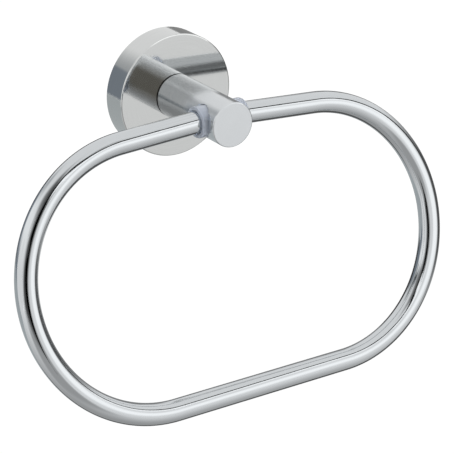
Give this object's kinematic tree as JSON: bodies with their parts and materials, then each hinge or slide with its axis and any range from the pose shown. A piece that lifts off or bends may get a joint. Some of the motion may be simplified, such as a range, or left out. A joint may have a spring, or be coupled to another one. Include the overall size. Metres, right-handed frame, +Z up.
{
  "type": "towel ring",
  "caption": "Wall-mounted towel ring: a round flange and straight post carry a bent rod ring that swings in plastic bushes and stays where it is put.",
  "frame": {"origin": "centre of the flange's back on the wall plane", "axes": "+Y into the wall, -Y out along the post, +Z up, +X along the ring's hinge line to the right as seen from the room"},
  "size_m": [0.2068, 0.0857, 0.1393],
  "materials": {
    "satin_flange": "satin stainless steel, fine brushing",
    "satin_post": "satin stainless steel, turned end face",
    "satin_rod": "satin stainless steel rod, brushed along its length",
    "bush_plastic": "translucent pale blue moulded plastic",
    "cast_plate": "plain machined steel",
    "screw_steel": "plain stainless fasteners"
  },
  "bodies": {
    "wall_mount": {"wall_flange": "satin_flange", "wall_plate": "cast_plate", "grub_screw": "screw_steel", "post": "satin_post", "post_screw": "screw_steel", "post_washer": "screw_steel", "left_bush": "bush_plastic", "right_bush": "bush_plastic"},
    "ring": {"ring": "satin_rod"}
  },
  "joints": [
    {"name": "ring_swing", "type": "hinge", "parent": "wall_mount", "child": "ring", "pos_m": [0, -0.0458, 0], "axis": [1, 0, 0], "range_deg": [-183, 39.2]}
  ]
}
